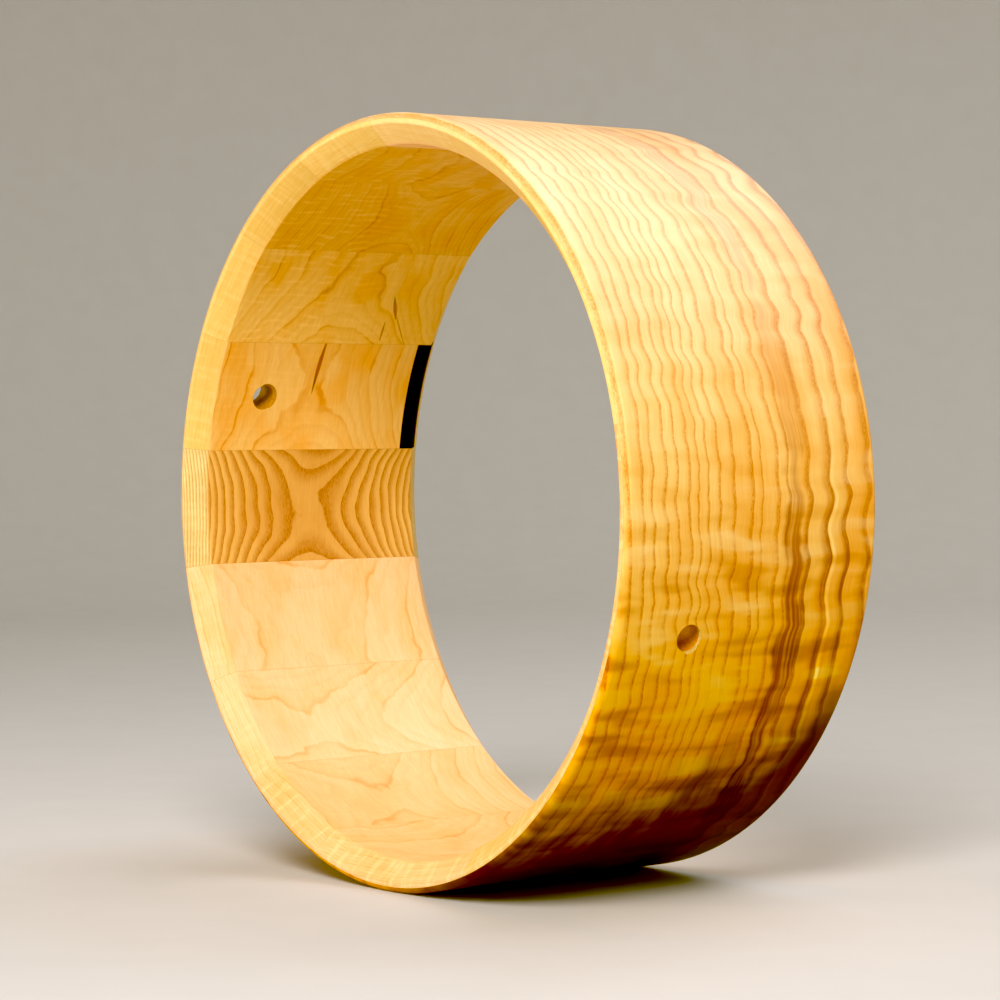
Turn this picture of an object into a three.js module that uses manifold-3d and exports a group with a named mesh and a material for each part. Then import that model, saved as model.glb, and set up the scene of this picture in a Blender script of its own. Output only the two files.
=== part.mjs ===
// Bare snare drum shell, 14 by 5 1/2 inch, lying on its side.
// Eighteen hardwood blocks stand edge to edge in a ring, turned true inside and out.
// A bent layer of ash wraps the ring, and both rims are cut to a bearing edge.
//
// Millimetres and degrees. The drum's axis runs along Y, the near rim faces -Y, and the
// origin lies under the middle of the shell, on the surface that it rests on.
// Angles go round the axis from +X towards +Z.

import * as THREE from 'three';
import { mergeVertices } from 'three/addons/utils/BufferGeometryUtils.js';
import Module from 'manifold-3d';

// Shell
const outsideDiameter = 352;
const shellDepth = 141;
const wallThickness = 13.8;
const layerThickness = 2.5;
const glueLine = 0.3;

// Bearing edge: rounded outside corner, narrow flat crest, 45 degree bevel inside
const cornerRadius = 3.5;
const crestWidth = 1.4;
const cornerSteps = 5;

// Ring of blocks
const blockCount = 18;
const facetsPerBlock = 6;
const firstSeamAngle = 10.8;
const ashBlock = 9;

// Air vents, drilled in two opposite blocks
const ventDiameter = 12;
const ventAngle = 161.2;
const leftVentDepth = 37;
const rightVentDepth = 39.6;
const ventSides = 24;
const leftVentBlock = 8;
const rightVentBlock = 17;

// Black bar let into the far end of the left vent block
const barReach = 16.8;
const barThickness = 4.5;

// Derived sizes
const outsideRadius = outsideDiameter / 2;
const insideRadius = outsideRadius - wallThickness;
const layerInnerRadius = outsideRadius - layerThickness;
const blockOuterRadius = layerInnerRadius - glueLine;
const cornerStart = outsideRadius - cornerRadius;
const bevel = cornerStart - crestWidth - insideRadius;
const rim = shellDepth / 2;
const blockAngle = 360 / blockCount;
const barRadius = insideRadius + barThickness;

const { degToRad } = THREE.MathUtils;
const wasm = await Module();
wasm.setup();

// Woods, with the colours that the finished surfaces have
const layerAsh = new THREE.MeshStandardMaterial({ name: 'olive_ash', color: 0xe6b566, roughness: 0.45 });
const maple = new THREE.MeshStandardMaterial({ name: 'maple', color: 0xecbf72, roughness: 0.55 });
const ash = new THREE.MeshStandardMaterial({ name: 'ash', color: 0xc98d3e, roughness: 0.55 });
const blackWood = new THREE.MeshStandardMaterial({ name: 'black_wood', color: 0x0c0908, roughness: 0.5 });

// Solids and meshes

function solid(geometry) {
  const bare = geometry.index ? geometry : mergeVertices(geometry);
  bare.deleteAttribute('normal');
  bare.deleteAttribute('uv');
  const merged = mergeVertices(bare);
  return new wasm.Manifold(new wasm.Mesh({
    numProp: 3,
    vertProperties: new Float32Array(merged.attributes.position.array),
    triVerts: new Uint32Array(merged.index.array),
  }));
}

function piece(name, body, material) {
  const { vertProperties, triVerts } = body.getMesh();
  const geometry = new THREE.BufferGeometry();
  geometry.setAttribute('position', new THREE.BufferAttribute(vertProperties, 3));
  geometry.setIndex(new THREE.BufferAttribute(triVerts, 1));
  geometry.computeVertexNormals();
  const mesh = new THREE.Mesh(geometry, material);
  mesh.name = name;
  return mesh;
}

// Turns a closed section about the drum's axis, with its facets in step with the seams.
function turned(section) {
  const outline = [...section, section[0]];
  const start = degToRad(90 - firstSeamAngle);
  return solid(new THREE.LatheGeometry(outline, blockCount * facetsPerBlock, start, 2 * Math.PI));
}

// Turn round the corner's arc, from the crest, at which a face of that radius meets it.
function cornerTurn(radius) {
  return Math.asin((radius - cornerStart) / cornerRadius);
}

// Arc of the rounded outside corner at the far rim, between two turns.
function corner(from, to) {
  const points = [];
  for (let step = 0; step <= cornerSteps; step += 1) {
    const turn = from + (to - from) * step / cornerSteps;
    const radius = cornerStart + cornerRadius * Math.sin(turn);
    points.push(new THREE.Vector2(radius, rim - cornerRadius * (1 - Math.cos(turn))));
  }
  return points;
}

// Closes a section from its far rim: the near rim is its mirror image.
function mirrored(farHalf) {
  const nearHalf = farHalf.map((point) => new THREE.Vector2(point.x, -point.y));
  return [...nearHalf, ...farHalf.reverse()];
}

// Section of the bent layer, from its glue line out to the rounded corners.
function layerSection() {
  return mirrored(corner(cornerTurn(layerInnerRadius), Math.PI / 2));
}

// Section of the blocks: inner wall, bevel, crest and the first of the corner.
function blockSection() {
  const wallEnd = new THREE.Vector2(insideRadius, rim - bevel);
  const crest = new THREE.Vector2(insideRadius + bevel, rim);
  return mirrored([wallEnd, crest, ...corner(0, cornerTurn(blockOuterRadius))]);
}

// Section of the black bar, flush with the inner wall and with the bevel at the far rim.
function barSection() {
  return [
    new THREE.Vector2(insideRadius, rim - barReach),
    new THREE.Vector2(barRadius, rim - barReach),
    new THREE.Vector2(barRadius, rim - bevel + barThickness),
    new THREE.Vector2(insideRadius, rim - bevel),
  ];
}

// Section of the rabbet that takes the bar, open towards the bore and the far rim.
function rabbetSection() {
  return [
    new THREE.Vector2(insideRadius - barThickness, rim - barReach - glueLine),
    new THREE.Vector2(barRadius + glueLine, rim - barReach - glueLine),
    new THREE.Vector2(barRadius + glueLine, rim + barThickness),
    new THREE.Vector2(insideRadius - barThickness, rim + barThickness),
  ];
}

// Wedge between two seams, drawn in from both seam planes by half a glue line.
function wedge(number) {
  const first = degToRad(firstSeamAngle + (number - 1) * blockAngle);
  const last = first + degToRad(blockAngle);
  const inner = insideRadius / 2;
  const outer = outsideRadius / Math.cos(degToRad(blockAngle / 2));
  const inset = glueLine / 2;
  const side = (angle, radius, shift) => new THREE.Vector2(
    radius * Math.cos(angle) - shift * Math.sin(angle),
    radius * Math.sin(angle) + shift * Math.cos(angle),
  );
  const outline = new THREE.Shape([
    side(first, inner, inset),
    side(first, outer, inset),
    side(last, outer, -inset),
    side(last, inner, -inset),
  ]);
  const length = 2 * shellDepth;
  const geometry = new THREE.ExtrudeGeometry(outline, { depth: length, bevelEnabled: false });
  geometry.translate(0, 0, -length / 2);
  geometry.rotateX(Math.PI / 2);
  return solid(geometry);
}

// Drill for a vent, along a radius through the whole wall.
function ventDrill(angle, depth) {
  const radius = ventDiameter / 2;
  const middle = outsideRadius - wallThickness / 2;
  const drill = solid(new THREE.CylinderGeometry(radius, radius, 2 * wallThickness, ventSides));
  return drill.rotate([0, 0, -90]).translate([middle, depth - rim, 0]).rotate([0, -angle, 0]);
}

// The shell

const leftVent = ventDrill(ventAngle, leftVentDepth);
const rightVent = ventDrill(ventAngle + 180, rightVentDepth);
const ring = turned(blockSection());

function block(number) {
  let body = ring.intersect(wedge(number));
  if (number === leftVentBlock) {
    body = body.subtract(leftVent).subtract(turned(rabbetSection()));
  }
  if (number === rightVentBlock) {
    body = body.subtract(rightVent);
  }
  const wood = number === ashBlock ? ash : maple;
  const name = `${wood.name}_block_${String(number).padStart(2, '0')}`;
  return piece(name, body, wood);
}

function blackBar() {
  const body = turned(barSection()).intersect(wedge(leftVentBlock));
  return piece('black_end_bar', body, blackWood);
}

function ashLayer() {
  const body = turned(layerSection()).subtract(leftVent).subtract(rightVent);
  return piece('outer_ash_layer', body, layerAsh);
}

const shell = new THREE.Group();
shell.name = 'drum_shell';
shell.add(ashLayer());
for (let number = 1; number <= blockCount; number += 1) {
  shell.add(block(number));
}
shell.add(blackBar());
shell.position.z = outsideRadius;

export default shell;
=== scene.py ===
import math

import bmesh
import bpy
from mathutils import Matrix, Vector


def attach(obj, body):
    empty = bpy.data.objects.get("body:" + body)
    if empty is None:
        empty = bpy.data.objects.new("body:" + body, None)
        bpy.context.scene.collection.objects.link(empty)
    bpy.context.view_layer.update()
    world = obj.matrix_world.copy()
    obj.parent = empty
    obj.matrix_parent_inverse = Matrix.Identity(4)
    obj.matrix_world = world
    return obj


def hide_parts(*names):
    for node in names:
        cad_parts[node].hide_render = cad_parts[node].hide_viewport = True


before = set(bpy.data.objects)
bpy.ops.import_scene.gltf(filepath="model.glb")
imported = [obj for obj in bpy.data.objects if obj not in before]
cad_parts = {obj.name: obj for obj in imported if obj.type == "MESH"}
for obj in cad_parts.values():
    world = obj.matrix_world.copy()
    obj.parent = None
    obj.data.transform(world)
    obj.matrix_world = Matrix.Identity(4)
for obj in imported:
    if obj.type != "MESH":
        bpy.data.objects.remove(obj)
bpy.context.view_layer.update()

# Maple blocks
# Seventeen hard maple blocks stand edge to edge round the ring with one of ash, grain running
# round the drum. They are glued, turned true inside and out, and cut to a bearing edge.

# Angles are in degrees, round the drum's axis from +X towards +Z.
MM = 0.001
OUTSIDE_RADIUS = 176 * MM
INSIDE_RADIUS = 162.2 * MM
SHELL_DEPTH = 141 * MM
LAYER_INNER_RADIUS = 173.5 * MM
GLUE = 0.12 * MM
CORNER_RADIUS = 3.5 * MM
CREST = 1.4 * MM
ARRIS = 0.35 * MM
BLOCKS = 18
BLOCK_ANGLE = 360 / BLOCKS
FIRST_SEAM = 10.8
ASH_BLOCK = 9
TURN_STEP = 0.5
WALL_STEP = 6 * MM
BLOCK_CORNER_STEPS = 3
SHARP_ANGLE = 24
SMOOTH = {"interpolation_type": "SMOOTHSTEP"}

rim = SHELL_DEPTH / 2
corner_start = OUTSIDE_RADIUS - CORNER_RADIUS
bevel = corner_start - CREST - INSIDE_RADIUS
block_outer_radius = LAYER_INNER_RADIUS - GLUE
half_glue = math.degrees(GLUE / 2 / OUTSIDE_RADIUS)
centre = Vector((0, 0, OUTSIDE_RADIUS))


def corner_arc(from_radius, to_radius, steps):
    """Points of the rounded outside corner at the far rim, between two radii."""
    turns = [math.asin(min(1, (r - corner_start) / CORNER_RADIUS)) for r in (from_radius, to_radius)]
    points = []
    for step in range(steps + 1):
        turn = turns[0] + (turns[1] - turns[0]) * step / steps
        radius = corner_start + CORNER_RADIUS * math.sin(turn)
        points.append(Vector((radius, rim - CORNER_RADIUS * (1 - math.cos(turn)))))
    return points


def eased(points, marked, reach):
    """Rounds the marked corners of an open line of points by a small reach."""
    line = []
    for k, point in enumerate(points):
        if k in marked:
            before = point.lerp(points[k - 1], reach / (points[k - 1] - point).length)
            after = point.lerp(points[k + 1], reach / (points[k + 1] - point).length)
            line += [before, (before + after + 2 * point) / 4, after]
        else:
            line.append(point)
    return line


def whole_outline(far_half):
    """Closes a far half with its mirror image, and splits the long walls into short runs."""
    near_half = [Vector((p.x, -p.y)) for p in far_half]
    corners = near_half + far_half[::-1]
    outline = []
    for point, following in zip(corners, corners[1:] + corners[:1]):
        runs = max(1, round((following - point).length / WALL_STEP))
        outline += [point.lerp(following, run / runs) for run in range(runs)]
    return outline


def turned(name, outline, first, last):
    """Turns a closed outline of (radius, y) points about the drum's axis between two angles."""
    steps = max(1, round((last - first) / TURN_STEP))
    closed = last - first == 360
    shape = bmesh.new()
    rings = []
    for step in range(steps if closed else steps + 1):
        angle = math.radians(first + (last - first) * step / steps)
        out = Vector((math.cos(angle), 0, math.sin(angle)))
        rings.append([shape.verts.new(centre + out * p.x + Vector((0, p.y, 0))) for p in outline])
    for ring, following in zip(rings, rings[1:] + (rings[:1] if closed else [])):
        for k in range(len(outline)):
            n = (k + 1) % len(outline)
            shape.faces.new((ring[k], ring[n], following[n], following[k]))
    if not closed:
        shape.faces.new(rings[0])
        shape.faces.new(rings[-1])
    return finished(name, shape)


def finished(name, shape):
    """Makes an object of a shape, smooth over its curves and sharp at its edges."""
    bmesh.ops.recalc_face_normals(shape, faces=shape.faces)
    mesh = bpy.data.meshes.new(name)
    shape.to_mesh(mesh)
    shape.free()
    mesh.shade_smooth()
    mesh.set_sharp_from_angle(angle=math.radians(SHARP_ANGLE))
    piece = bpy.data.objects.new(name, mesh)
    bpy.context.scene.collection.objects.link(piece)
    return piece


def place(piece, node, slot, *materials):
    """Dresses a piece in its materials, and puts it in its CAD node's place."""
    for material in materials:
        piece.data.materials.append(material)
    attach(piece, "root")
    if node:
        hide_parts(node)


def linear(colour):
    """Linear RGBA of an sRGB hex colour."""
    parts = [int(colour[k:k + 2], 16) / 255 for k in (1, 3, 5)]
    return tuple(c / 12.92 if c < 0.04045 else ((c + 0.055) / 1.055) ** 2.4 for c in parts) + (1,)


def add(tree, kind, inputs, **settings):
    """Adds a node with its settings, feeds its inputs, and returns its first output."""
    made = tree.nodes.new("ShaderNode" + kind)
    for name, value in settings.items():
        setattr(made, name, value)
    for key, value in inputs.items():
        if isinstance(value, bpy.types.NodeSocket):
            tree.links.new(value, made.inputs[key])
        else:
            made.inputs[key].default_value = value
    return made.outputs[0]


def new_material(name, roughness):
    """A material with its shader, and the place in millimetres from the middle of the shell."""
    material = bpy.data.materials.new(name)
    material.use_nodes = True
    tree = material.node_tree
    tree.nodes.clear()
    shader = add(tree, "BsdfPrincipled", {"IOR": 1.5, "Roughness": roughness}).node
    surface = tree.nodes.new("ShaderNodeOutputMaterial")
    tree.links.new(shader.outputs[0], surface.inputs["Surface"])
    in_metres = add(tree, "TexCoord", {}).node.outputs["Object"]
    from_middle = add(tree, "VectorMath", {0: in_metres, 1: centre}, operation="SUBTRACT")
    in_mm = add(tree, "VectorMath", {0: from_middle, "Scale": 1 / MM}, operation="SCALE")
    return material, tree, shader, in_mm


def patches(tree, where, sizes, detail, roughness=0.5, seed=0):
    """Soft random patches that measure so many millimetres along each axis."""
    inputs = {0: where, 1: [1 / size for size in sizes], 2: (0, 31.7 * seed, 0)}
    scaled = add(tree, "VectorMath", inputs, operation="MULTIPLY_ADD")
    inputs = {"Vector": scaled, "Scale": 1.0, "Detail": detail, "Roughness": roughness}
    return add(tree, "TexNoise", inputs)


def streaked(tree, ground, fibre, strand, fibre_share, dull, bright):
    """The ground with fine streaks of light and shade along its fibres and strands."""
    shade = add(tree, "MapRange", {0: fibre, 1: 0.25, 2: 0.75, 3: 0.0, 4: fibre_share})
    wide_shade = add(tree, "MapRange", {0: strand, 1: 0.3, 2: 0.7, 3: 0.0, 4: 1 - fibre_share})
    shade = add(tree, "Math", {0: shade, 1: wide_shade}, operation="ADD")
    shade = add(tree, "MixRGB", {0: shade, 1: dull, 2: bright})
    return add(tree, "MixRGB", {0: 1.0, 1: ground, 2: shade}, blend_type="MULTIPLY")


def dress(tree, shader, colour, relief, distance, strength):
    """Gives the shader its colour, and a bump as high as the distance."""
    bump = add(tree, "Bump", {"Height": relief, "Distance": distance, "Strength": strength})
    tree.links.new(colour, shader.inputs["Base Color"])
    tree.links.new(bump, shader.inputs["Normal"])


# Sizes of the blocks' patterns in millimetres: into the wall, along the drum and round it. Real
# fibres are under 0.05 mm wide and maple's pores under 0.1 mm. They are drawn as coarse as it
# takes to see them.
FIBRE = (0.4, 0.4, 7)
PORE = (0.36, 0.36, 2.2)
STRAND = (1.1, 1.1, 12.5)
MOTTLE = (20, 20, 32)
SLOW_WANDER = (40, 40, 40)
QUICK_WANDER = (10, 10, 10)
CURL_SWAY = (26, 26, 26)
CURL_BREAK = (11, 11, 4)
RIM_RIPPLE = (24, 24, 4)
CURL_SPACING = 4.3
CUTTER_MARK_SPACING = 1.25
BOARD_SPACING = 97
RELIEF = 0.04 * MM

# Block, start and end as places along the drum and round it, half width and darkness.
mineral_streaks = (
    (8, (-3.2, -31), (-5.3, -2), 1.05, 0.95),
    (7, (34, 13.5), (28.3, 0.5), 0.95, 0.8),
    (7, (32, 9), (45, 29), 0.35, 0.55),
    (7, (28.6, 26), (28.2, 15.5), 0.5, 0.75),
)


def growth_rings(tree, across, apart, figure, porous):
    """Place along the drum from the pith, and the rings counted outwards from the pith.

    figure holds the pith's place along the drum, its distance below the inner wall, the ring
    width, where a ring falls, and how far round the block the board's face lies deepest.
    """
    pith, distance, ring, fall, deepest = figure
    inner = INSIDE_RADIUS / MM
    unsteady = 0.8 if porous else ring / 4
    shiver = 0.4 if porous else 1.1 * unsteady
    slow = patches(tree, apart, SLOW_WANDER, 1.5, 0.45)
    quick = patches(tree, apart, QUICK_WANDER, 2)
    wander = add(tree, "Math", {0: slow, 1: 3.6 * unsteady, 2: -1.8 * unsteady}, operation="MULTIPLY_ADD")
    wander = add(tree, "Math", {0: quick, 1: shiver, 2: wander}, operation="MULTIPLY_ADD")
    tilt = add(tree, "Math", {0: across[2], 1: deepest / inner, 2: wander}, operation="MULTIPLY_ADD")
    depth = add(tree, "Math", {0: across[0], 1: tilt}, operation="ADD")
    depth = add(tree, "Math", {0: depth, 1: distance - inner}, operation="ADD")
    side = add(tree, "Math", {0: across[1], 1: -pith}, operation="ADD")
    span = add(tree, "CombineXYZ", {0: side, 1: depth})
    radius = add(tree, "VectorMath", {0: span}, operation="LENGTH").node.outputs["Value"]
    rings = add(tree, "Math", {0: radius, 1: 1 / ring, 2: fall}, operation="MULTIPLY_ADD")
    return side, rings


def maple_rings(tree, rings, mottle):
    """Strengths of the thin line that ends a maple ring, and of the soft shade before it."""
    part = add(tree, "Math", {0: rings}, operation="FRACT")
    line = add(tree, "MapRange", {0: part, 1: 0.88, 2: 0.965, 3: 0.0, 4: 1.0}, **SMOOTH)
    fade = add(tree, "MapRange", {0: part, 1: 0.965, 2: 1.0, 3: 1.0, 4: 0.0}, **SMOOTH)
    firmness = add(tree, "MapRange", {0: mottle, 1: 0.4, 2: 0.62, 3: 0.12, 4: 0.5})
    for share in (fade, firmness):
        line = add(tree, "Math", {0: line, 1: share}, operation="MULTIPLY")
    between = add(tree, "Math", {0: rings, 1: 3.0}, operation="MULTIPLY")
    between = add(tree, "Math", {0: between}, operation="FRACT")
    between = add(tree, "MapRange", {0: between, 1: 0.4, 2: 1.0, 3: 0.0, 4: 0.1}, **SMOOTH)
    line = add(tree, "Math", {0: line, 1: between}, operation="MAXIMUM")
    soft = add(tree, "MapRange", {0: part, 1: 0.4, 2: 0.96, 3: 0.0, 4: 0.22}, **SMOOTH)
    return line, soft


def ash_rings(tree, rings, side, pore):
    """Strengths of the dark pores that start an ash ring, of its soft shade and of the heart."""
    part = add(tree, "Math", {0: rings}, operation="FRACT")
    band = add(tree, "MapRange", {0: part, 1: 0.06, 2: 0.8, 3: 1.0, 4: 0.0}, **SMOOTH)
    edge = add(tree, "MapRange", {0: part, 1: 0.0, 2: 0.07, 3: 0.0, 4: 1.0}, **SMOOTH)
    pores = add(tree, "MapRange", {0: pore, 1: 0.4, 2: 0.62, 3: 0.22, 4: 0.95})
    thinning = add(tree, "MapRange", {0: part, 1: 0.05, 2: 0.22, 3: 1.0, 4: 0.78}, **SMOOTH)
    off = add(tree, "Math", {0: side}, operation="ABSOLUTE")
    fading = add(tree, "MapRange", {0: off, 1: 25.0, 2: 62.0, 3: 1.0, 4: 0.6})
    heart = add(tree, "MapRange", {0: off, 1: 12.0, 2: 62.0, 3: 0.6, 4: 0.0}, **SMOOTH)
    soft = add(tree, "Math", {0: band, 1: edge}, operation="MULTIPLY")
    line = soft
    for share in (pores, thinning, fading):
        line = add(tree, "Math", {0: line, 1: share}, operation="MULTIPLY")
    return line, soft, heart


def curl_bars(tree, across, apart, curl):
    """Short broken bars of light across curly grain, strongest on the drum's near half."""
    sway = patches(tree, apart, CURL_SWAY, 1)
    sway = add(tree, "Math", {0: sway, 1: 13.0}, operation="MULTIPLY")
    turns = math.tau / CURL_SPACING
    phase = add(tree, "Math", {0: across[2], 1: turns, 2: sway}, operation="MULTIPLY_ADD")
    bars = add(tree, "Math", {0: phase}, operation="SINE")
    bars = add(tree, "MapRange", {0: bars, 1: -0.2, 2: 1.0, 3: 0.0, 4: curl}, **SMOOTH)
    breaks = patches(tree, apart, CURL_BREAK, 1)
    breaks = add(tree, "MapRange", {0: breaks, 1: 0.44, 2: 0.62, 3: 0.0, 4: 1.0})
    near_half = add(tree, "MapRange", {0: across[1], 1: -20.0, 2: 35.0, 3: 1.0, 4: 0.25})
    for share in (breaks, near_half):
        bars = add(tree, "Math", {0: bars, 1: share}, operation="MULTIPLY")
    return bars


def cut_bevel(tree, across, apart, ground, dark, rim_ripple, bevel_light):
    """The bevel's own look: marks of the cutter, ripple, and a tone lighter than the wall, as painted light.

    The last argument holds how the lighter tone blends in, how strongly, and the tone.
    """
    inner = INSIDE_RADIUS / MM
    in_section = add(tree, "CombineXYZ", {0: across[0], 1: across[2]})
    radius = add(tree, "VectorMath", {0: in_section}, operation="LENGTH").node.outputs["Value"]
    on_bevel = add(tree, "MapRange", {0: radius, 1: inner + 0.2, 2: inner + 1.2, 3: 0.0, 4: 1.0})
    marks = add(tree, "Math", {0: radius, 1: math.tau / CUTTER_MARK_SPACING}, operation="MULTIPLY")
    marks = add(tree, "Math", {0: marks}, operation="SINE")
    marks = add(tree, "MapRange", {0: marks, 1: 0.2, 2: 1.0, 3: 0.0, 4: 0.12})
    marks = add(tree, "Math", {0: marks, 1: on_bevel}, operation="MULTIPLY")
    ground = add(tree, "MixRGB", {0: marks, 1: ground, 2: dark})
    ripple = patches(tree, apart, RIM_RIPPLE, 1)
    ripple = add(tree, "MapRange", {0: ripple, 1: 0.5, 2: 0.64, 3: 0.0, 4: rim_ripple}, **SMOOTH)
    ripple = add(tree, "Math", {0: ripple, 1: on_bevel}, operation="MULTIPLY")
    ground = add(tree, "MixRGB", {0: ripple, 1: ground, 2: linear("#FFE2A4")})
    if bevel_light:
        blend, strength, tone = bevel_light
        share = add(tree, "Math", {0: on_bevel, 1: strength}, operation="MULTIPLY")
        ground = add(tree, "MixRGB", {0: share, 1: ground, 2: tone}, blend_type=blend)
    return ground


def mineral_streak(tree, across, ground, start, end, half, darkness):
    """A brown mineral streak that swells, then tapers to a dark tip at its end."""
    length = math.dist(start, end)
    along = [(e - s) / length for s, e in zip(start, end)]
    from_start = -start[0] * along[0] - start[1] * along[1]
    share = add(tree, "Math", {0: across[2], 1: along[1], 2: from_start}, operation="MULTIPLY_ADD")
    share = add(tree, "Math", {0: across[1], 1: along[0], 2: share}, operation="MULTIPLY_ADD")
    share = add(tree, "Math", {0: share, 1: 1 / length}, operation="MULTIPLY")
    from_line = start[1] * along[0] - start[0] * along[1]
    off = add(tree, "Math", {0: across[2], 1: -along[0], 2: from_line}, operation="MULTIPLY_ADD")
    off = add(tree, "Math", {0: across[1], 1: along[1], 2: off}, operation="MULTIPLY_ADD")
    off = add(tree, "Math", {0: off}, operation="ABSOLUTE")
    swell = add(tree, "MapRange", {0: share, 1: 0.0, 2: 0.45, 3: 0.35, 4: 1.0}, **SMOOTH)
    taper = add(tree, "MapRange", {0: share, 1: 0.6, 2: 0.98, 3: half, 4: 0.15 * half})
    width = add(tree, "Math", {0: swell, 1: taper}, operation="MULTIPLY")
    off = add(tree, "Math", {0: off, 1: width}, operation="SUBTRACT")
    body = add(tree, "MapRange", {0: off, 1: -0.3, 2: 0.4, 3: darkness, 4: 0.0}, **SMOOTH)
    head = add(tree, "MapRange", {0: share, 1: -0.04, 2: 0.02, 3: 0.0, 4: 1.0}, **SMOOTH)
    foot = add(tree, "MapRange", {0: share, 1: 0.98, 2: 1.08, 3: 1.0, 4: 0.0}, **SMOOTH)
    for end_share in (head, foot):
        body = add(tree, "Math", {0: body, 1: end_share}, operation="MULTIPLY")
    tip = add(tree, "MapRange", {0: share, 1: 0.6, 2: 0.95, 3: 0.0, 4: 1.0}, **SMOOTH)
    brown = add(tree, "MixRGB", {0: tip, 1: linear("#A5500E"), 2: linear("#3E1803")})
    return add(tree, "MixRGB", {0: body, 1: ground, 2: brown})


def block_wood(name, number, figure, tones, porous, curl, mottling, rim_ripple, bevel_light):
    """Solid wood of one block: growth rings about a pith on the bore side, fibres round the drum.

    The turned hollow cuts the flat rings in hourglass lines. Sanded without a finish, the wood
    has a dull, even sheen, and its fibres show as fine streaks of light and shade.
    """
    wood, tree, shader, in_mm = new_material(name, 0.5)
    middle = math.radians(FIRST_SEAM + (number - 0.5) * BLOCK_ANGLE)
    board = add(tree, "VectorRotate", {"Vector": in_mm, "Angle": middle}, rotation_type="Y_AXIS")
    apart = add(tree, "VectorMath", {0: board, 1: (0, 0, BOARD_SPACING * number)}, operation="ADD")
    across = add(tree, "SeparateXYZ", {0: board}).node.outputs
    fibre = patches(tree, apart, FIBRE, 3, 0.6)
    pore = patches(tree, apart, PORE, 2, 0.65)
    mottle = patches(tree, apart, MOTTLE, 2)
    side, rings = growth_rings(tree, across, apart, figure, porous)
    pale, warm, dark = (linear(tone) for tone in tones)
    if porous:
        line, soft, heart = ash_rings(tree, rings, side, pore)
        pale = add(tree, "MixRGB", {0: heart, 1: pale, 2: warm})
    else:
        line, soft = maple_rings(tree, rings, mottle)
    ground = add(tree, "MixRGB", {0: soft, 1: pale, 2: warm})
    mottled = add(tree, "MapRange", {0: mottle, 1: 0.42, 2: 0.68, 3: 0.0, 4: mottling}, **SMOOTH)
    ground = add(tree, "MixRGB", {0: mottled, 1: ground, 2: warm})
    ground = add(tree, "MixRGB", {0: line, 1: ground, 2: dark})
    if curl:
        bars = curl_bars(tree, across, apart, curl)
        ground = add(tree, "MixRGB", {0: bars, 1: ground, 2: linear("#FFDC90")})
    ground = cut_bevel(tree, across, apart, ground, dark, rim_ripple, bevel_light)
    for streaked_block, *streak in mineral_streaks:
        if streaked_block == number:
            ground = mineral_streak(tree, across, ground, *streak)
    strand = patches(tree, apart, STRAND, 1)
    colour = streaked(tree, ground, fibre, strand, 0.55, (0.94, 0.89, 0.82, 1), (1.04, 1.07, 1.14, 1))
    relief = add(tree, "Math", {0: fibre, 1: pore}, operation="ADD")
    dress(tree, shader, colour, relief, RELIEF, 0.5)
    return wood


far_half = [
    Vector((INSIDE_RADIUS, rim - bevel)),
    Vector((INSIDE_RADIUS + bevel, rim)),
    *corner_arc(corner_start, block_outer_radius, BLOCK_CORNER_STEPS),
]
block_line = [Vector((INSIDE_RADIUS, 0)), *far_half]
block_outline = whole_outline(eased(block_line, (1, 2), ARRIS)[1:])

block_pieces = {}
for number in range(1, BLOCKS + 1):
    first = FIRST_SEAM + (number - 1) * BLOCK_ANGLE
    last = first + BLOCK_ANGLE
    name = "turned_ash_%02d" if number == ASH_BLOCK else "turned_maple_%02d"
    block_pieces[number] = turned(name % number, block_outline, first + half_glue, last - half_glue)

# Pale, warm and dark tone of the boards, and how a lighter tone of painted light on the bevel blends in.
GOLDEN = ("#E7B86C", "#DE9238", "#AE581C")
STRAW = ("#EEC57A", "#E49C42", "#B46020")
HONEY = ("#ECC07A", "#E8983E", "#BC561C")
CREAM = ("#F7CA99", "#F4B268", "#D88C42")
PEACH = ("#F2C088", "#EEA458", "#D2803A")
PALE_CUT = ("MIX", 0.55, linear("#F4D282"))
STRAW_CUT = ("MIX", 0.55, linear("#DEBA6A"))

# Figure, tones and cut of each block's board. The tones differ from board to board, and also
# carry painted light and shade: the blocks in shade at the top of the bore take the deeper
# GOLDEN and STRAW tones, and the lit blocks at the bottom take the paler CREAM and PEACH.
boards = {
    1: (14, 150, 4.6, 0.30, -4, HONEY, PALE_CUT),
    2: (-22, 210, 3.0, 0.10, 8, HONEY, PALE_CUT),
    3: (6, 120, 5.2, 0.65, 2, CREAM, PALE_CUT),
    4: (-9, 260, 3.6, 0.45, -7, CREAM, PALE_CUT),
    5: (34, 240, 5.4, 0.80, 5, GOLDEN, PALE_CUT),
    6: (8, 110, 2.9, 0.34, 2, GOLDEN, STRAW_CUT),
    7: (3, 107, 5.5, 0.03, -20, STRAW, STRAW_CUT),
    8: (-7, 90, 6.5, 0.87, -12, HONEY, STRAW_CUT),
    10: (-10, 180, 6.5, 0.68, 11, CREAM, None),
    11: (-45, 806, 3.0, 0.35, 6, CREAM, None),
    12: (-20, 180, 4.2, 0.05, 5, PEACH, None),
    13: (-30, 260, 4.4, 0.72, 16, PEACH, None),
    14: (4, 130, 4.0, 0.40, -3, PEACH, None),
    15: (-12, 290, 3.8, 0.90, 7, HONEY, None),
    16: (18, 110, 5.2, 0.25, -6, HONEY, None),
    17: (-4, 250, 3.3, 0.60, 3, HONEY, None),
    18: (10, 170, 4.4, 0.15, 10, HONEY, None),
}
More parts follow.
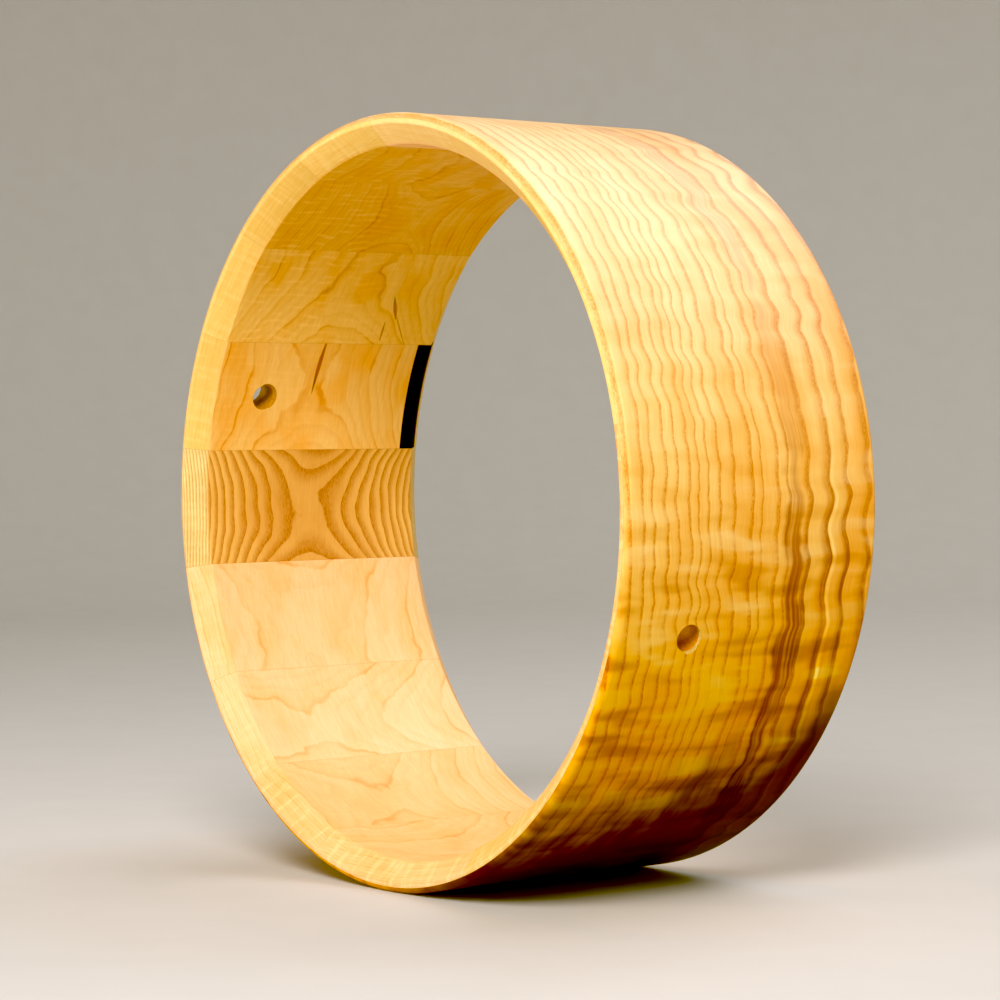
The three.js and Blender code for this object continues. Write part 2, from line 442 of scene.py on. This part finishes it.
for number, (*figure, tones, bevel_light) in boards.items():
    curl = 0.3 if number in (5, 6, 7) else 0.08
    mottling = 0.42 if number < ASH_BLOCK else 0.3
    rim_ripple = 0.12 if number in (10, 11) else 0.28
    name = "Hard maple, turned and sanded, %02d" % number
    maple = block_wood(name, number, figure, tones, False, curl, mottling, rim_ripple, bevel_light)
    place(block_pieces[number], "maple_block_%02d" % number, "maple", maple)

# Ash block
# One block is olive ash cut close to the pith. Its wide dark porous rings cross the face in an
# hourglass, because the turned hollow runs deepest at the block's middle.

# Turning opens the pores, so each ring starts with a band of dark dashes on a tan ground.
ash_tones = ("#E8BA74", "#CE955C", "#A25C3A")
ash_figure = (-1.7, 150, 1.5, 0.83, 2)
# Painted light: the ash block's bevel is lighter and bluer than its wall.
ash_cut = ("MULTIPLY", 1, (1, 1.3, 1.5, 1))
ash_name = "Olive ash, turned and sanded"
brown_ash = block_wood(ash_name, ASH_BLOCK, ash_figure, ash_tones, True, 0, 0.42, 0.05, ash_cut)
place(block_pieces[ASH_BLOCK], "ash_block_09", "ash", brown_ash)

# Black bar
# A flat bar of black-dyed wood lies let into the far end of the left vent block, flush with the
# wall and the bevel. It is sanded with the shell, so it is smooth and dull.

BAR_REACH = 16.8 * MM
BAR_THICKNESS = 4.5 * MM
BAR_BLOCK = 8


def cut(piece, cutter):
    """Takes a cutter out of a piece. The cut faces keep the cutter's own material."""
    taking = piece.modifiers.new("cut", "BOOLEAN")
    taking.object = cutter
    taking.solver = "EXACT"
    taking.material_mode = "TRANSFER"
    graph = bpy.context.evaluated_depsgraph_get()
    mesh = bpy.data.meshes.new_from_object(piece.evaluated_get(graph))
    piece.modifiers.clear()
    piece.data = mesh
    mesh.shade_smooth()
    mesh.set_sharp_from_angle(angle=math.radians(SHARP_ANGLE))
    bpy.data.objects.remove(cutter)


bar_first = FIRST_SEAM + (BAR_BLOCK - 1) * BLOCK_ANGLE
bar_last = bar_first + BLOCK_ANGLE
bar_radius = INSIDE_RADIUS + BAR_THICKNESS
bar_outline = [
    Vector((INSIDE_RADIUS, rim - BAR_REACH)),
    Vector((bar_radius, rim - BAR_REACH)),
    Vector((bar_radius, rim - bevel + BAR_THICKNESS)),
    Vector((INSIDE_RADIUS, rim - bevel)),
]
rabbet_outline = [
    Vector((INSIDE_RADIUS - BAR_THICKNESS, rim - BAR_REACH - GLUE)),
    Vector((bar_radius + GLUE, rim - BAR_REACH - GLUE)),
    Vector((bar_radius + GLUE, rim + BAR_THICKNESS)),
    Vector((INSIDE_RADIUS - BAR_THICKNESS, rim + BAR_THICKNESS)),
]
cut(block_pieces[BAR_BLOCK], turned("rabbet", rabbet_outline, bar_first - 1, bar_last + 1))
black_bar = turned("black_bar", bar_outline, bar_first + half_glue, bar_last - half_glue)

# The dye goes right through, so hardly any grain or gloss shows. Fibres as coarse as the blocks'.
black_wood, tree, shader, in_mm = new_material("Black-dyed wood, sanded", 0.75)
shader.inputs["Specular IOR Level"].default_value = 0.12
grain = patches(tree, in_mm, (0.4, 0.4, 3.3), 3, 0.6)
tone = add(tree, "MapRange", {0: grain, 1: 0.3, 2: 0.75, 3: 0.0, 4: 1.0})
colour = add(tree, "MixRGB", {0: tone, 1: linear("#020101"), 2: linear("#070504")})
dress(tree, shader, colour, grain, RELIEF, 0.4)
place(black_bar, "black_end_bar", "black_wood", black_wood)

# Air vents
# Two plain 12 mm holes let air out when the drum is struck. The drill has rubbed their walls, worn
# one side of the inner mouth and torn pale fibres out of the outer one.

VENT_RADIUS = 6 * MM
VENT_ANGLE = 161.2
VENT_STEPS = 120
EASING = 0.4 * MM
OVERRUN = 4 * MM
WORN_REACH = 1.1 * MM
WORN_DEPTH = 1.3 * MM
WORN_MIDDLE = -25
WORN_HALF = 85
TORN_REACH = 2.2 * MM
TORN_DEPTH = 0.7 * MM

# Block, angle round the drum, distance from the near rim, and the middle of the torn crescent.
vents = ((8, VENT_ANGLE, 37 * MM, 50), (17, VENT_ANGLE + 180, 39.6 * MM, -30))


def bulge(turn, middle, half):
    """A smooth swelling about a middle, as wide to both sides as half says, in degrees."""
    off = (turn - math.radians(middle) + math.pi) % math.tau - math.pi
    return max(0, 1 - (off / math.radians(half)) ** 2) ** 0.6


def torn_share(turn, middle, seed):
    """How far the torn edge reaches at a turn round the vent: a crescent with a ragged lobe."""
    ragged = 0.75 + 0.15 * math.sin(17 * turn + seed) + 0.1 * math.sin(41 * turn + 2 * seed)
    return (0.4 * bulge(turn, middle, 72) + 0.6 * bulge(turn, middle - 34, 32)) * ragged


def vent_drill(angle, depth, torn_middle):
    """The vent's drill, eased at both mouths, with what it wears and tears away there."""
    # Distance from the drum's axis, easing, and shares of the wear and of the tear.
    stops = (
        (INSIDE_RADIUS - OVERRUN, EASING, 1, 0),
        (INSIDE_RADIUS, EASING, 1, 0),
        (INSIDE_RADIUS + EASING, 0, 0.7, 0),
        (INSIDE_RADIUS + WORN_DEPTH, 0, 0, 0),
        (OUTSIDE_RADIUS - TORN_DEPTH, 0, 0, 0),
        (OUTSIDE_RADIUS - 0.75 * TORN_DEPTH, 0, 0, 0.55),
        (OUTSIDE_RADIUS - 0.25 * TORN_DEPTH, 0, 0, 0.85),
        (OUTSIDE_RADIUS, EASING / 2, 0, 1),
        (OUTSIDE_RADIUS + OVERRUN, EASING / 2, 0, 1),
    )
    out = Vector((math.cos(math.radians(angle)), 0, math.sin(math.radians(angle))))
    up = Vector((-out.z, 0, out.x))
    turns = [math.tau * k / VENT_STEPS for k in range(VENT_STEPS)]
    shape = bmesh.new()
    loops = []
    for distance, easing, wear, tear in stops:
        foot = centre + out * distance + Vector((0, depth - rim, 0))
        loop = []
        for turn in turns:
            radius = VENT_RADIUS + easing + wear * WORN_REACH * bulge(turn, WORN_MIDDLE, WORN_HALF)
            radius += tear * TORN_REACH * torn_share(turn, torn_middle, angle)
            along = Vector((0, radius * math.cos(turn), 0))
            loop.append(shape.verts.new(foot + along + up * radius * math.sin(turn)))
        loops.append(loop)
    for (distance, *_), loop, following in zip(stops, loops, loops[1:]):
        for k, turn in enumerate(turns):
            n = (k + 1) % VENT_STEPS
            side = shape.faces.new((loop[k], loop[n], following[n], following[k]))
            torn_here = torn_share(turn, torn_middle, angle) > 0.06
            side.material_index = int(distance >= OUTSIDE_RADIUS - TORN_DEPTH and torn_here)
    shape.faces.new(loops[0])
    shape.faces.new(loops[-1])
    drill = finished("drill", shape)
    drill.data.materials.append(drilled)
    drill.data.materials.append(torn)
    return drill


# The drilled walls get darker tones than the blocks and are matt. The left vent, which lies in
# the shade, gets a browner copy of them as painted shade.
drilled, tree, shader, in_mm = new_material("Drilled wood, rubbed by the bit", 0.6)
rubbing = patches(tree, in_mm, (0.9, 0.9, 0.9), 3, 0.6)
to_right = add(tree, "SeparateXYZ", {0: in_mm}).node.outputs[0]
right_vent = add(tree, "MapRange", {0: to_right, 1: -10.0, 2: 10.0, 3: 0.0, 4: 1.0})
shaded = add(tree, "MixRGB", {0: rubbing, 1: linear("#8A5420"), 2: linear("#D09A58")})
warm = add(tree, "MixRGB", {0: rubbing, 1: linear("#A45A26"), 2: linear("#E4A05C")})
colour = add(tree, "MixRGB", {0: right_vent, 1: shaded, 2: warm})
dress(tree, shader, colour, rubbing, 0.2 * MM, 0.6)

# Fibres torn out at the mouth stand up pale and rough. They are drawn as coarse tufts.
torn, tree, shader, in_mm = new_material("Torn ash fibres", 0.75)
tufts = patches(tree, in_mm, (1.6, 0.25, 1.6), 4, 0.7)
colour = add(tree, "MixRGB", {0: tufts, 1: linear("#A8682C"), 2: linear("#F8DC90")})
dress(tree, shader, colour, tufts, 0.3 * MM, 0.8)

for number, *drilling in vents:
    cut(block_pieces[number], vent_drill(*drilling))

# Glue lines
# Yellow wood glue dries to a thin amber line in each seam of the ring and under the bent layer.
# It shrinks as it dries and is sanded off with the wood, so it lies a hair below the surface.

GLUE_SHRINK = 0.03 * MM
CORNER_SHRINK = 5 * GLUE_SHRINK
FILM_SHRINK = 8 * GLUE_SHRINK

seam_line = [
    Vector((INSIDE_RADIUS + GLUE_SHRINK, rim - bevel)),
    Vector((INSIDE_RADIUS + bevel, rim - GLUE_SHRINK)),
    Vector((block_outer_radius, rim - CORNER_SHRINK)),
]
seam_outline = whole_outline(seam_line)
films = []
for number in range(BLOCKS):
    seam = FIRST_SEAM + number * BLOCK_ANGLE
    films.append(turned("seam", seam_outline, seam - half_glue, seam + half_glue))
film_line = [
    Vector((block_outer_radius, rim - FILM_SHRINK)),
    Vector((LAYER_INNER_RADIUS, rim - FILM_SHRINK)),
]
under_layer = turned("film", whole_outline(film_line), 0, 360)
for _, *drilling in vents:
    cut(under_layer, vent_drill(*drilling))
films.append(under_layer)
joined = bmesh.new()
for film in films:
    joined.from_mesh(film.data)
    bpy.data.objects.remove(film)
for face in joined.faces:
    face.material_index = 0
glue_lines = finished("glue_lines", joined)

# Dried glue is amber, uneven in tone and shinier than the wood.
glue, tree, shader, in_mm = new_material("Wood glue, dried and sanded", 0.4)
beads = patches(tree, in_mm, (3, 3, 3), 2)
colour = add(tree, "MixRGB", {0: beads, 1: linear("#8E5C28"), 2: linear("#C8935A")})
tree.links.new(colour, shader.inputs["Base Color"])
place(glue_lines, None, "maple", glue)

# Outer layer
# A thin board of rippled olive ash is steamed and bent round the ring with its grain running
# round the drum. It is scraped and oiled. Its ripple is drawn as painted bands of light and
# shade, and the board is painted darker and yellower low down as painted shade.

LAYER_CORNER_STEPS = 9
NEAR_WAVES = 56
FAR_WAVES = 38
LIT_SHIFT = 1.3
FIRST_RING_OFFSET = 12
STREAK_PLACE = 92.5
PALE_LINE = 114.2
LAYER_RELIEF = 0.06 * MM

# Widths of the yearly rings from before the near rim to the far one, in millimetres.
ring_widths = (7, 7, 8, 6, 7.5, 6, 6.5, 4.5, 5, 6, 7.5, 9.5, 4.5, 9.5, 5.5, 12.5, 12.5, 11, 13, 12)

layer_half = corner_arc(LAYER_INNER_RADIUS, OUTSIDE_RADIUS, LAYER_CORNER_STEPS)
layer = turned("bent_ash_layer", whole_outline(layer_half), 0, 360)


def wave(tree, angle, count, wander, shift):
    """A sine wave that runs so many times round the drum, and whose phase wanders."""
    phase = add(tree, "Math", {0: wander, 1: 12.0, 2: shift}, operation="MULTIPLY_ADD")
    phase = add(tree, "Math", {0: angle, 1: float(count), 2: phase}, operation="MULTIPLY_ADD")
    return add(tree, "Math", {0: phase}, operation="SINE")


def swayed(tree, in_mm, height, depth, far_share, near_wave, far_wave, vigour):
    """Place across the board, along growth lines that sway round the drum.

    They sway in short waves near the near rim, and in wide ones near the far rim.
    """
    fading = add(tree, "MapRange", {0: far_share, 1: 0.0, 2: 1.0, 3: 0.9, 4: 0.3})
    sway = near_wave
    for share in (vigour, fading):
        sway = add(tree, "Math", {0: sway, 1: share}, operation="MULTIPLY")
    reach = patches(tree, in_mm, (55, 60, 55), 0, seed=9)
    reach = add(tree, "MapRange", {0: reach, 1: 0.3, 2: 0.7, 3: 0.1, 4: 2.3})
    reach = add(tree, "Math", {0: reach, 1: far_share}, operation="MULTIPLY")
    far_sway = add(tree, "Math", {0: far_wave, 1: reach}, operation="MULTIPLY")
    jolts = patches(tree, in_mm, (13, 60, 13), 1, seed=12)
    jolts = add(tree, "Math", {0: jolts, 1: 5.0, 2: -2.5}, operation="MULTIPLY_ADD")
    bend = patches(tree, in_mm, (85, 110, 85), 0, seed=4)
    bend = add(tree, "Math", {0: bend, 1: 14.0, 2: -7.0}, operation="MULTIPLY_ADD")
    for further in (far_sway, jolts, bend):
        sway = add(tree, "Math", {0: sway, 1: further}, operation="ADD")
    calm = add(tree, "MapRange", {0: depth, 1: 0.0, 2: 16.0, 3: 0.1, 4: 1.0}, **SMOOTH)
    across = add(tree, "Math", {0: sway, 1: calm, 2: depth}, operation="MULTIPLY_ADD")
    drift = add(tree, "MapRange", {0: height, 1: 20.0, 2: -150.0, 3: 0.0, 4: -12.0}, **SMOOTH)
    return add(tree, "Math", {0: across, 1: drift}, operation="ADD")


def counted_rings(tree, across, widths, offset):
    """Counts rings of the given widths across the board, the first of them before the rim."""
    total = sum(widths)
    share = add(tree, "Math", {0: across, 1: 1 / total, 2: offset / total}, operation="MULTIPLY_ADD")
    counted = add(tree, "FloatCurve", {"Value": share})
    counter = counted.node.mapping
    curve = counter.curves[0]
    curve.points[0].location = (0, 0)
    curve.points[-1].location = (1, 1)
    so_far = 0
    for count, width in enumerate(widths[:-1], start=1):
        so_far += width
        curve.points.new(so_far / total, count / len(widths))
    for point in curve.points:
        point.handle_type = "VECTOR"
    counter.update()
    return add(tree, "Math", {0: counted, 1: float(len(widths))}, operation="MULTIPLY")


def grown_wood(tree, grain, part, far_share, low):
    """Strength of the brown, finely pitted growth lines, and the board's colour with them."""
    line = add(tree, "MapRange", {0: part, 1: 0.66, 2: 0.87, 3: 0.0, 4: 1.0}, **SMOOTH)
    edge = add(tree, "MapRange", {0: part, 1: 0.93, 2: 1.0, 3: 1.0, 4: 0.0}, **SMOOTH)
    pitted = patches(tree, grain, (1.5, 0.42, 1.5), 2, seed=6)
    pitted = add(tree, "MapRange", {0: pitted, 1: 0.4, 2: 0.58, 3: 0.25, 4: 1.0})
    firmness = add(tree, "MapRange", {0: low, 1: 0.1, 2: 0.6, 3: 0.6, 4: 0.8})
    for share in (edge, pitted, firmness):
        line = add(tree, "Math", {0: line, 1: share}, operation="MULTIPLY")
    halo = add(tree, "MapRange", {0: part, 1: 0.35, 2: 0.9, 3: 0.0, 4: 0.3}, **SMOOTH)
    halo = add(tree, "Math", {0: halo, 1: edge}, operation="MULTIPLY")
    cloud = patches(tree, grain, (70, 22, 70), 2, seed=8)
    cloud = add(tree, "MapRange", {0: cloud, 1: 0.38, 2: 0.66, 3: 0.0, 4: 0.5}, **SMOOTH)
    cloud = add(tree, "Math", {0: far_share, 1: 0.4, 2: cloud}, operation="MULTIPLY_ADD")
    ground = add(tree, "MixRGB", {0: cloud, 1: linear("#FAD59A"), 2: linear("#F2B46C")})
    ground = add(tree, "MixRGB", {0: halo, 1: ground, 2: linear("#E09A44")})
    return line, add(tree, "MixRGB", {0: line, 1: ground, 2: linear("#CC7238")})


def rippled(tree, in_mm, near_wave, far_wave, vigour):
    """How far the fibres rise and dip along the board."""
    uneven = patches(tree, in_mm, (8, 38, 8), 1.5, seed=7)
    uneven = add(tree, "Math", {0: uneven, 1: 5.0, 2: -2.5}, operation="MULTIPLY_ADD")
    ripple = add(tree, "Math", {0: near_wave, 1: vigour}, operation="MULTIPLY")
    ripple = add(tree, "Math", {0: ripple, 1: 0.55, 2: uneven}, operation="MULTIPLY_ADD")
    return add(tree, "Math", {0: far_wave, 1: 0.35, 2: ripple}, operation="MULTIPLY_ADD")


def painted_light_and_shade(tree, in_mm, ground, ripple, height, low):
    """Painted bands of light and shade across the grain, where the fibres rise and dip.

    They are painted strongest low down, where the light grazes, and there the wood is painted darker and a
    deeper yellow as painted shade.
    """
    strength = add(tree, "MapRange", {0: low, 1: 0.12, 2: 0.75, 3: 0.16, 4: 0.9})
    shaded = add(tree, "MapRange", {0: ripple, 1: 0.1, 2: -1.3, 3: 0.0, 4: 1.0}, **SMOOTH)
    shaded = add(tree, "Math", {0: shaded, 1: strength}, operation="MULTIPLY")
    tint = add(tree, "MixRGB", {0: low, 1: (0.86, 0.62, 0.3, 1), 2: (0.6, 0.42, 0.2, 1)})
    ground = add(tree, "MixRGB", {0: shaded, 1: ground, 2: tint}, blend_type="MULTIPLY")
    # Painted shade: darker and yellower low down.
    ground = add(tree, "MixRGB", {0: low, 1: ground, 2: (0.88, 0.6, 1, 1)}, blend_type="MULTIPLY")
    painted_shade_yellow = add(tree, "MapRange", {0: height, 1: 75.0, 2: -80.0, 3: 0.0, 4: 1.0})
    ground = add(tree, "MixRGB", {0: painted_shade_yellow, 1: ground, 2: (1, 1, 0.05, 1)}, blend_type="MULTIPLY")
    lit = add(tree, "MapRange", {0: ripple, 1: 0.0, 2: 1.0, 3: 0.0, 4: 1.0}, **SMOOTH)
    gleam = patches(tree, in_mm, (22, 26, 22), 1, seed=14)
    gleam = add(tree, "MapRange", {0: gleam, 1: 0.38, 2: 0.6, 3: 0.3, 4: 1.0})
    for share in (strength, gleam):
        lit = add(tree, "Math", {0: lit, 1: share}, operation="MULTIPLY")
    tone = add(tree, "MixRGB", {0: low, 1: linear("#FCE4AC"), 2: linear("#F0BA44")})
    return add(tree, "MixRGB", {0: lit, 1: ground, 2: tone})


def heart_streak(tree, grain, ground, across, part, blotch, low):
    """A streak of brown heartwood in threads, and the brown late wood beyond it."""
    off = add(tree, "Math", {0: across, 1: -STREAK_PLACE}, operation="ADD")
    off = add(tree, "Math", {0: off}, operation="ABSOLUTE")
    streak = add(tree, "Math", {0: off, 1: -0.045, 2: blotch}, operation="MULTIPLY_ADD")
    streak = add(tree, "MapRange", {0: streak, 1: 0.14, 2: 0.38, 3: 0.0, 4: 1.0}, **SMOOTH)
    late = add(tree, "MapRange", {0: part, 1: 0.45, 2: 0.85, 3: 0.0, 4: 0.9}, **SMOOTH)
    beyond = add(tree, "MapRange", {0: across, 1: 93.0, 2: 100.0, 3: 0.0, 4: 1.0}, **SMOOTH)
    blotched = add(tree, "MapRange", {0: blotch, 1: 0.35, 2: 0.6, 3: 0.35, 4: 1.0})
    for share in (beyond, blotched):
        late = add(tree, "Math", {0: late, 1: share}, operation="MULTIPLY")
    streak = add(tree, "Math", {0: streak, 1: late}, operation="MAXIMUM")
    lower = add(tree, "MapRange", {0: low, 1: 0.0, 2: 0.8, 3: 0.25, 4: 1.0}, **SMOOTH)
    threads = patches(tree, grain, (60, 1.7, 60), 1.5, seed=15)
    threads = add(tree, "MapRange", {0: threads, 1: 0.38, 2: 0.6, 3: 0.45, 4: 1.0})
    for share in (lower, threads):
        streak = add(tree, "Math", {0: streak, 1: share}, operation="MULTIPLY")
    return add(tree, "MixRGB", {0: streak, 1: ground, 2: (0.38, 0.1, 0.2, 1)}, blend_type="MULTIPLY")


def pale_line(tree, ground, across, low):
    """The pale line between the heartwood streak and the far rim, strongest low down."""
    gold = add(tree, "MapRange", {0: across, 1: PALE_LINE - 1, 2: PALE_LINE - 0.4, 3: 0.0, 4: 0.9})
    fade = add(tree, "MapRange", {0: across, 1: PALE_LINE + 0.4, 2: PALE_LINE + 1.8, 3: 1.0, 4: 0.0})
    for share in (fade, low):
        gold = add(tree, "Math", {0: gold, 1: share}, operation="MULTIPLY")
    return add(tree, "MixRGB", {0: gold, 1: ground, 2: (1.3, 1.8, 2.5, 1)}, blend_type="MULTIPLY")


def heart_and_painted_shade(tree, ground, axes, depth, far_share, blotch):
    """Heartwood and painted shade: deep brown low down on the +X side, where the shell lies. Its ragged edge
    climbs towards the far rim.
    """
    level = add(tree, "Math", {0: far_share, 1: -30.0, 2: axes[2]}, operation="MULTIPLY_ADD")
    ragged = add(tree, "MapRange", {0: blotch, 1: 0.3, 2: 0.7, 3: 8.0, 4: -8.0})
    far_edge = add(tree, "MapRange", {0: depth, 1: 112.0, 2: 138.0, 3: 0.0, 4: -24.0}, **SMOOTH)
    for shift in (ragged, far_edge):
        level = add(tree, "Math", {0: level, 1: shift}, operation="ADD")
    brown = add(tree, "MapRange", {0: level, 1: -112.0, 2: -162.0, 3: 0.0, 4: 1.0}, **SMOOTH)
    right = add(tree, "MapRange", {0: axes[0], 1: -40.0, 2: 70.0, 3: 0.0, 4: 1.0}, **SMOOTH)
    brown = add(tree, "Math", {0: brown, 1: right}, operation="MULTIPLY")
    return add(tree, "MixRGB", {0: brown, 1: ground, 2: (0.12, 0.03, 0.02, 1)}, blend_type="MULTIPLY")


# Oil gives the scraped wood a soft sheen. Real fibres are too thin to show, so they are drawn
# 0.4 mm wide, like the blocks'. Sizes are in millimetres round the drum and across the board.
rippled_ash, tree, shader, in_mm = new_material("Rippled olive ash, scraped and oiled", 0.45)
shader.inputs["Coat Roughness"].default_value = 0.55
axes = add(tree, "SeparateXYZ", {0: in_mm}).node.outputs
height = axes[2]
angle = add(tree, "Math", {0: height, 1: axes[0]}, operation="ARCTAN2")
depth = add(tree, "Math", {0: axes[1], 1: rim / MM}, operation="ADD")
far_share = add(tree, "MapRange", {0: depth, 1: 25.0, 2: 120.0, 3: 0.0, 4: 1.0})
low = add(tree, "MapRange", {0: height, 1: 75.0, 2: -110.0, 3: 0.0, 4: 1.0}, **SMOOTH)
wander_near = patches(tree, in_mm, (60, 55, 60), 1, seed=1)
wander_far = patches(tree, in_mm, (70, 70, 70), 1, seed=2)
vigour = patches(tree, in_mm, (45, 40, 45), 0, seed=3)
vigour = add(tree, "MapRange", {0: vigour, 1: 0.3, 2: 0.7, 3: 0.0, 4: 1.1})
near_wave = wave(tree, angle, NEAR_WAVES, wander_near, 0.0)
far_wave = wave(tree, angle, FAR_WAVES, wander_far, 0.0)
across = swayed(tree, in_mm, height, depth, far_share, near_wave, far_wave, vigour)
rings = counted_rings(tree, across, ring_widths, FIRST_RING_OFFSET)
part = add(tree, "Math", {0: rings}, operation="FRACT")
grain = add(tree, "CombineXYZ", {0: axes[0], 1: across, 2: height})
line, ground = grown_wood(tree, grain, part, far_share, low)

# The light falls from one side, so the lit bands lie beside the crests of the growth lines.
near_wave = wave(tree, angle, NEAR_WAVES, wander_near, LIT_SHIFT)
far_wave = wave(tree, angle, FAR_WAVES, wander_far, LIT_SHIFT)
ripple = rippled(tree, in_mm, near_wave, far_wave, vigour)
ground = painted_light_and_shade(tree, in_mm, ground, ripple, height, low)
blotch = patches(tree, grain, (34, 10, 34), 2, seed=10)
blotch = add(tree, "Math", {0: ripple, 1: -0.06, 2: blotch}, operation="MULTIPLY_ADD")
ground = heart_streak(tree, grain, ground, across, part, blotch, low)
ground = pale_line(tree, ground, across, low)
ground = heart_and_painted_shade(tree, ground, axes, depth, far_share, blotch)
fibre = patches(tree, grain, (10, 0.4, 10), 3, seed=5)
strand = patches(tree, grain, (16, 1.1, 16), 1, seed=13)
colour = streaked(tree, ground, fibre, strand, 0.6, (0.93, 0.86, 0.76, 1), (1.03, 1.08, 1.18, 1))
relief = add(tree, "Math", {0: line, 1: -0.6, 2: fibre}, operation="MULTIPLY_ADD")
relief = add(tree, "Math", {0: ripple, 1: 1.2, 2: relief}, operation="MULTIPLY_ADD")
dress(tree, shader, colour, relief, LAYER_RELIEF, 0.6)

# The photograph's floor is black, so the layer's underside has nothing to reflect there. Oil and
# gloss fade towards the pale floor, which would shine in them.
coat = add(tree, "MapRange", {0: height, 1: -20.0, 2: -110.0, 3: 0.9, 4: 0.1}, **SMOOTH)
tree.links.new(coat, shader.inputs["Coat Weight"])
gloss = add(tree, "MapRange", {0: height, 1: -40.0, 2: -125.0, 3: 0.5, 4: 0.04}, **SMOOTH)
tree.links.new(gloss, shader.inputs["Specular IOR Level"])
layer.data.materials.append(rippled_ash)

for _, *drilling in vents:
    cut(layer, vent_drill(*drilling))
place(layer, "outer_ash_layer", "olive_ash")

# Floor, light and camera
# A plain pale paper floor that curves up into a backdrop, under soft studio light, seen from
# where the photograph was taken.

FLOOR_RADIUS = 2.6
SWEEP_RADIUS = 1.3
WALL_TOP = 2.6
FLOOR_STEPS = 6
SWEEP_STEPS = 12
ROUND_STEPS = 72

sweep = [(FLOOR_RADIUS * k / FLOOR_STEPS, 0) for k in range(FLOOR_STEPS + 1)]
for k in range(1, SWEEP_STEPS + 1):
    turn = math.radians(90 * k / SWEEP_STEPS)
    sweep.append((FLOOR_RADIUS + SWEEP_RADIUS * math.sin(turn), SWEEP_RADIUS * (1 - math.cos(turn))))
sweep.append((FLOOR_RADIUS + SWEEP_RADIUS, WALL_TOP))
floor_shape = bmesh.new()
loops = []
for radius, level in sweep:
    turns = [math.tau * k / ROUND_STEPS for k in range(ROUND_STEPS)] if radius else [0]
    loops.append([floor_shape.verts.new((radius * math.cos(a), radius * math.sin(a), level)) for a in turns])
for inner, outer in zip(loops, loops[1:]):
    for k in range(ROUND_STEPS):
        n = (k + 1) % ROUND_STEPS
        inner_edge = (inner[0],) if len(inner) == 1 else (inner[n], inner[k])
        floor_shape.faces.new((outer[k], outer[n], *inner_edge))
floor = finished("floor", floor_shape)

# Matt paper, so that no lamp shines back from it.
paper, tree, shader, in_mm = new_material("Pale backdrop paper, matt", 0.9)
shader.inputs["Specular IOR Level"].default_value = 0.2
clouding = patches(tree, in_mm, (40, 40, 40), 2)
colour = add(tree, "MixRGB", {0: clouding, 1: linear("#C9C7C4"), 2: linear("#CECCC9")})
tree.links.new(colour, shader.inputs["Base Color"])
floor.data.materials.append(paper)


def soft_light(name, place_at, size, power, colour, spread=180):
    """A square soft box that faces the shell. A grid narrows its spread, in degrees."""
    light = bpy.data.lights.new(name, "AREA")
    light.shape = "SQUARE"
    light.size = size
    light.energy = power
    light.color = linear(colour)[:3]
    light.spread = math.radians(spread)
    lamp = bpy.data.objects.new(name, light)
    lamp.location = place_at
    lamp.rotation_mode = "QUATERNION"
    lamp.rotation_quaternion = (centre - Vector(place_at)).to_track_quat("-Z", "Y")
    bpy.context.scene.collection.objects.link(lamp)
    return lamp


# The key's grid keeps it off the floor and the shell's back, and no gloss shows its box.
key = soft_light("key_box", (1.15, -1.2, 1.4), 0.9, 23, "#FFF4E4", spread=120)
key.visible_glossy = False
soft_light("sheen_box", (0.0, 2.5, 4.0), 3.9, 118, "#FFF8F0")
soft_light("front_box", (-0.95, -1.7, 0.3), 0.55, 15, "#FFF4E4")

studio = bpy.data.worlds.new("studio")
studio.use_nodes = True
studio.node_tree.nodes["Background"].inputs["Color"].default_value = linear("#ECEDF2")
studio.node_tree.nodes["Background"].inputs["Strength"].default_value = 0.17
bpy.context.scene.world = studio

# Fitted to the photograph. The place is in metres, and the lens and sensor are in millimetres.
CAMERA_PLACE = (1.0978, -0.8308, 0.1926)
YAW = 52.949
PITCH = 1.131
LENS = 106.2
SENSOR = 36

view = bpy.data.cameras.new("camera")
view.sensor_width = SENSOR
view.lens = LENS
view.clip_end = 100
camera = bpy.data.objects.new("camera", view)
aim = Matrix.Rotation(-math.radians(PITCH), 4, "X") @ Matrix.Rotation(math.radians(YAW), 4, "Z")
upright = Matrix.Rotation(math.pi / 2, 4, "X")
camera.matrix_world = Matrix.Translation(CAMERA_PLACE) @ aim @ upright
bpy.context.scene.collection.objects.link(camera)
bpy.context.scene.camera = camera

# The photograph is printed warm: its shade loses the blue first.
grade = bpy.context.scene.view_settings
grade.view_transform = "Standard"
grade.use_curve_mapping = True
grade.curve_mapping.black_level = (0.01, 0.02, 0.075)
grade.curve_mapping.white_level = (1.0, 0.98, 0.9)
grade.curve_mapping.update()
